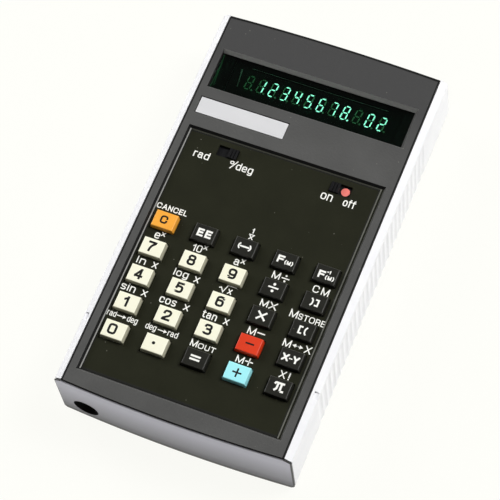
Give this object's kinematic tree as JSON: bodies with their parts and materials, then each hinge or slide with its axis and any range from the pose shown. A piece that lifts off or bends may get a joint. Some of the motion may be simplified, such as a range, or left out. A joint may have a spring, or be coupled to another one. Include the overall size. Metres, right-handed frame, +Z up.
{
  "type": "scientific calculator",
  "caption": "Pocket scientific calculator: white fluted case, dark sunk keyboard with sprung keys, fluorescent display behind a smoked window, slide switches, charger socket and battery bay.",
  "frame": {"origin": "middle of the bounding box, on the plane under the feet", "axes": "+Z up through the keys, +Y towards the display end, +X to the right of someone reading the display"},
  "size_m": [0.086, 0.1568, 0.0277],
  "materials": {
    "case_white": "satin white moulding",
    "cover_grey": "fine texture, matte",
    "panel_grey": "satin silver grey",
    "plate_black": "smooth black brown",
    "nameplate": "bare satin plate",
    "filter": "smoked green, polished",
    "tube_glass": "clear glass",
    "tube_base": "dark coated glass",
    "plated_wire": "tinned",
    "knob_black": "ribbed",
    "mark_red": "bright red",
    "switch_black": "plain",
    "dome_rubber": "matte",
    "board_green": "lacquered",
    "plated_steel": "plated",
    "pin_brass": "plated",
    "chip_black": "moulded",
    "capacitor_can": "sleeved",
    "ferrite": "sintered",
    "cell_sleeve": "sleeved",
    "foot_rubber": "matte",
    "key_black": "satin",
    "key_cream": "satin",
    "key_orange": "satin",
    "key_red": "satin",
    "key_blue": "satin"
  },
  "bodies": {
    "case": {"lower_case": "case_white", "top_cover": "cover_grey", "front_panel": "panel_grey", "keyboard_plate": "plate_black", "nameplate": "nameplate", "display_filter": "filter", "display_glass": "tube_glass", "display_base": "tube_base", "display_leads": "plated_wire", "angle_switch": "switch_black", "power_switch": "switch_black", "key_mat": "dome_rubber", "key_board": "board_green", "board_screws": "plated_steel", "main_board": "board_green", "header_pins": "pin_brass", "logic_chips": "chip_black", "capacitors": "capacitor_can", "converter_coil": "ferrite", "charger_socket": "switch_black", "socket_contacts": "pin_brass", "battery_cells": "cell_sleeve", "battery_contacts": "plated_steel", "case_screws": "plated_steel", "rubber_feet": "foot_rubber"},
    "key_clear_body": {"key_clear": "key_orange"},
    "key_exponent_body": {"key_exponent": "key_black"},
    "key_sign_body": {"key_sign": "key_black"},
    "key_memory_body": {"key_memory": "key_black"},
    "key_inverse_body": {"key_inverse": "key_black"},
    "key_7_body": {"key_7": "key_cream"},
    "key_8_body": {"key_8": "key_cream"},
    "key_9_body": {"key_9": "key_cream"},
    "key_divide_body": {"key_divide": "key_black"},
    "key_close_body": {"key_close": "key_black"},
    "key_4_body": {"key_4": "key_cream"},
    "key_5_body": {"key_5": "key_cream"},
    "key_6_body": {"key_6": "key_cream"},
    "key_multiply_body": {"key_multiply": "key_black"},
    "key_open_body": {"key_open": "key_black"},
    "key_1_body": {"key_1": "key_cream"},
    "key_2_body": {"key_2": "key_cream"},
    "key_3_body": {"key_3": "key_cream"},
    "key_subtract_body": {"key_subtract": "key_red"},
    "key_exchange_body": {"key_exchange": "key_black"},
    "key_0_body": {"key_0": "key_cream"},
    "key_point_body": {"key_point": "key_cream"},
    "key_equals_body": {"key_equals": "key_black"},
    "key_add_body": {"key_add": "key_blue"},
    "key_pi_body": {"key_pi": "key_black"},
    "angle_slider_body": {"angle_slider": "knob_black"},
    "power_slider_body": {"power_slider": "knob_black", "power_mark": "mark_red"},
    "battery_door_body": {"battery_door": "case_white"}
  },
  "joints": [
    {"name": "key_clear_press", "type": "slide", "parent": "case", "child": "key_clear_body", "axis": [0, 0, -1], "range_m": [0, 0.001], "stiffness_N_per_m": 400, "springref_m": -0.0005, "deforming": ["key_mat"]},
    {"name": "key_exponent_press", "type": "slide", "parent": "case", "child": "key_exponent_body", "axis": [0, 0, -1], "range_m": [0, 0.001], "stiffness_N_per_m": 400, "springref_m": -0.0005, "deforming": ["key_mat"]},
    {"name": "key_sign_press", "type": "slide", "parent": "case", "child": "key_sign_body", "axis": [0, 0, -1], "range_m": [0, 0.001], "stiffness_N_per_m": 400, "springref_m": -0.0005, "deforming": ["key_mat"]},
    {"name": "key_memory_press", "type": "slide", "parent": "case", "child": "key_memory_body", "axis": [0, 0, -1], "range_m": [0, 0.001], "stiffness_N_per_m": 400, "springref_m": -0.0005, "deforming": ["key_mat"]},
    {"name": "key_inverse_press", "type": "slide", "parent": "case", "child": "key_inverse_body", "axis": [0, 0, -1], "range_m": [0, 0.001], "stiffness_N_per_m": 400, "springref_m": -0.0005, "deforming": ["key_mat"]},
    {"name": "key_7_press", "type": "slide", "parent": "case", "child": "key_7_body", "axis": [0, 0, -1], "range_m": [0, 0.001], "stiffness_N_per_m": 400, "springref_m": -0.0005, "deforming": ["key_mat"]},
    {"name": "key_8_press", "type": "slide", "parent": "case", "child": "key_8_body", "axis": [0, 0, -1], "range_m": [0, 0.001], "stiffness_N_per_m": 400, "springref_m": -0.0005, "deforming": ["key_mat"]},
    {"name": "key_9_press", "type": "slide", "parent": "case", "child": "key_9_body", "axis": [0, 0, -1], "range_m": [0, 0.001], "stiffness_N_per_m": 400, "springref_m": -0.0005, "deforming": ["key_mat"]},
    {"name": "key_divide_press", "type": "slide", "parent": "case", "child": "key_divide_body", "axis": [0, 0, -1], "range_m": [0, 0.001], "stiffness_N_per_m": 400, "springref_m": -0.0005, "deforming": ["key_mat"]},
    {"name": "key_close_press", "type": "slide", "parent": "case", "child": "key_close_body", "axis": [0, 0, -1], "range_m": [0, 0.001], "stiffness_N_per_m": 400, "springref_m": -0.0005, "deforming": ["key_mat"]},
    {"name": "key_4_press", "type": "slide", "parent": "case", "child": "key_4_body", "axis": [0, 0, -1], "range_m": [0, 0.001], "stiffness_N_per_m": 400, "springref_m": -0.0005, "deforming": ["key_mat"]},
    {"name": "key_5_press", "type": "slide", "parent": "case", "child": "key_5_body", "axis": [0, 0, -1], "range_m": [0, 0.001], "stiffness_N_per_m": 400, "springref_m": -0.0005, "deforming": ["key_mat"]},
    {"name": "key_6_press", "type": "slide", "parent": "case", "child": "key_6_body", "axis": [0, 0, -1], "range_m": [0, 0.001], "stiffness_N_per_m": 400, "springref_m": -0.0005, "deforming": ["key_mat"]},
    {"name": "key_multiply_press", "type": "slide", "parent": "case", "child": "key_multiply_body", "axis": [0, 0, -1], "range_m": [0, 0.001], "stiffness_N_per_m": 400, "springref_m": -0.0005, "deforming": ["key_mat"]},
    {"name": "key_open_press", "type": "slide", "parent": "case", "child": "key_open_body", "axis": [0, 0, -1], "range_m": [0, 0.001], "stiffness_N_per_m": 400, "springref_m": -0.0005, "deforming": ["key_mat"]},
    {"name": "key_1_press", "type": "slide", "parent": "case", "child": "key_1_body", "axis": [0, 0, -1], "range_m": [0, 0.001], "stiffness_N_per_m": 400, "springref_m": -0.0005, "deforming": ["key_mat"]},
    {"name": "key_2_press", "type": "slide", "parent": "case", "child": "key_2_body", "axis": [0, 0, -1], "range_m": [0, 0.001], "stiffness_N_per_m": 400, "springref_m": -0.0005, "deforming": ["key_mat"]},
    {"name": "key_3_press", "type": "slide", "parent": "case", "child": "key_3_body", "axis": [0, 0, -1], "range_m": [0, 0.001], "stiffness_N_per_m": 400, "springref_m": -0.0005, "deforming": ["key_mat"]},
    {"name": "key_subtract_press", "type": "slide", "parent": "case", "child": "key_subtract_body", "axis": [0, 0, -1], "range_m": [0, 0.001], "stiffness_N_per_m": 400, "springref_m": -0.0005, "deforming": ["key_mat"]},
    {"name": "key_exchange_press", "type": "slide", "parent": "case", "child": "key_exchange_body", "axis": [0, 0, -1], "range_m": [0, 0.001], "stiffness_N_per_m": 400, "springref_m": -0.0005, "deforming": ["key_mat"]},
    {"name": "key_0_press", "type": "slide", "parent": "case", "child": "key_0_body", "axis": [0, 0, -1], "range_m": [0, 0.001], "stiffness_N_per_m": 400, "springref_m": -0.0005, "deforming": ["key_mat"]},
    {"name": "key_point_press", "type": "slide", "parent": "case", "child": "key_point_body", "axis": [0, 0, -1], "range_m": [0, 0.001], "stiffness_N_per_m": 400, "springref_m": -0.0005, "deforming": ["key_mat"]},
    {"name": "key_equals_press", "type": "slide", "parent": "case", "child": "key_equals_body", "axis": [0, 0, -1], "range_m": [0, 0.001], "stiffness_N_per_m": 400, "springref_m": -0.0005, "deforming": ["key_mat"]},
    {"name": "key_add_press", "type": "slide", "parent": "case", "child": "key_add_body", "axis": [0, 0, -1], "range_m": [0, 0.001], "stiffness_N_per_m": 400, "springref_m": -0.0005, "deforming": ["key_mat"]},
    {"name": "key_pi_press", "type": "slide", "parent": "case", "child": "key_pi_body", "axis": [0, 0, -1], "range_m": [0, 0.001], "stiffness_N_per_m": 400, "springref_m": -0.0005, "deforming": ["key_mat"]},
    {"name": "angle_slide", "type": "slide", "parent": "case", "child": "angle_slider_body", "axis": [1, 0, 0], "range_m": [-0.0041, 0]},
    {"name": "power_slide", "type": "slide", "parent": "case", "child": "power_slider_body", "axis": [1, 0, 0], "range_m": [0, 0.0041]},
    {"name": "battery_door_slide", "type": "slide", "parent": "case", "child": "battery_door_body", "axis": [0, 1, 0], "range_m": [0, 0.06]}
  ]
}
